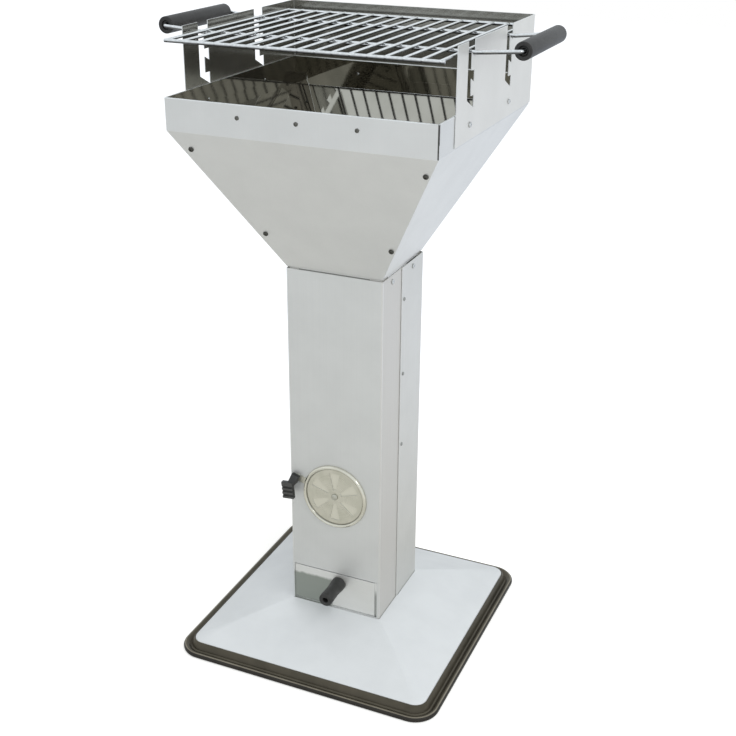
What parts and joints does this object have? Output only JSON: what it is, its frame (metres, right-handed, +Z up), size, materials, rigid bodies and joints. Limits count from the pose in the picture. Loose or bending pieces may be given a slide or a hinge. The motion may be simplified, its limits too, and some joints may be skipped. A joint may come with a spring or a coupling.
{
  "type": "park barbecue grill on a pedestal",
  "caption": "Charcoal grill of folded steel sheet: square skirt, hollow column with an air disc and an ash drawer, open funnel head with slotted wind guards and a lift-off cooking grid.",
  "frame": {"origin": "on the floor under the middle of the base", "axes": "+Z up, -Y towards the side with the air disc and the ash drawer, +X to the right of someone facing that side"},
  "size_m": [0.502, 0.4076, 0.9015],
  "materials": {
    "sheet_steel": "smooth rolled stainless steel sheet, nearly mirror-like inside the head",
    "rim_steel": "dark polished edge trim",
    "wire_steel": "bright drawn wire",
    "grate_steel": "plain drawn wire",
    "disc_steel": "spun sheet with fine circular lines",
    "fastener_steel": "plain steel",
    "black_plastic": "moulded black plastic with a slight sheen"
  },
  "bodies": {
    "grill_body": {"base_rim": "rim_steel", "base_skirt": "sheet_steel", "column_front": "sheet_steel", "column_rear": "sheet_steel", "funnel_front": "sheet_steel", "funnel_rear": "sheet_steel", "funnel_left": "sheet_steel", "funnel_right": "sheet_steel", "wind_guard_left": "sheet_steel", "wind_guard_right": "sheet_steel", "wind_guard_rear": "sheet_steel", "drawer_shelf": "sheet_steel", "band_rivet_left": "fastener_steel", "band_rivet_middle": "fastener_steel", "band_rivet_right": "fastener_steel", "corner_screw_front_left_upper": "fastener_steel", "corner_screw_front_left_lower": "fastener_steel", "corner_screw_front_right_upper": "fastener_steel", "corner_screw_front_right_lower": "fastener_steel", "corner_screw_rear_left_upper": "fastener_steel", "corner_screw_rear_left_lower": "fastener_steel", "corner_screw_rear_right_upper": "fastener_steel", "corner_screw_rear_right_lower": "fastener_steel", "guard_screw_left_front": "fastener_steel", "guard_screw_left_rear": "fastener_steel", "guard_screw_right_front": "fastener_steel", "guard_screw_right_rear": "fastener_steel", "guard_screw_rear_left": "fastener_steel", "guard_screw_rear_right": "fastener_steel", "collar_screw_left_front": "fastener_steel", "collar_screw_left_rear": "fastener_steel", "collar_screw_right_front": "fastener_steel", "collar_screw_right_rear": "fastener_steel", "seam_rivet_left_1": "fastener_steel", "seam_rivet_left_2": "fastener_steel", "seam_rivet_left_3": "fastener_steel", "seam_rivet_right_1": "fastener_steel", "seam_rivet_right_2": "fastener_steel", "seam_rivet_right_3": "fastener_steel", "skirt_screw_front": "fastener_steel", "skirt_screw_rear": "fastener_steel", "skirt_screw_left": "fastener_steel", "skirt_screw_right": "fastener_steel"},
    "ash_drawer": {"ash_drawer_tray": "sheet_steel", "ash_drawer_front": "sheet_steel", "drawer_handle": "black_plastic", "drawer_handle_screw": "fastener_steel", "drawer_handle_nut": "fastener_steel"},
    "air_damper": {"air_disc": "disc_steel", "air_disc_pivot": "disc_steel", "air_knob": "black_plastic"},
    "cooking_grid": {"cooking_grid": "wire_steel", "grid_grip_left": "black_plastic", "grid_grip_right": "black_plastic"},
    "charcoal_grate": {"charcoal_grate": "grate_steel"}
  },
  "joints": [
    {"name": "drawer_slide", "type": "slide", "parent": "grill_body", "child": "ash_drawer", "axis": [0, -1, 0], "range_m": [0, 0.11]},
    {"name": "air_damper_turn", "type": "hinge", "parent": "grill_body", "child": "air_damper", "pos_m": [0, -0.0715, 0.2475], "axis": [0, -1, 0], "range_deg": [0, 30]},
    {"name": "grid_lift", "type": "slide", "parent": "grill_body", "child": "cooking_grid", "axis": [0, 0, 1], "range_m": [0, 0.15]},
    {"name": "grate_lift", "type": "slide", "parent": "grill_body", "child": "charcoal_grate", "axis": [0, 0, 1], "range_m": [0, 0.15]}
  ]
}
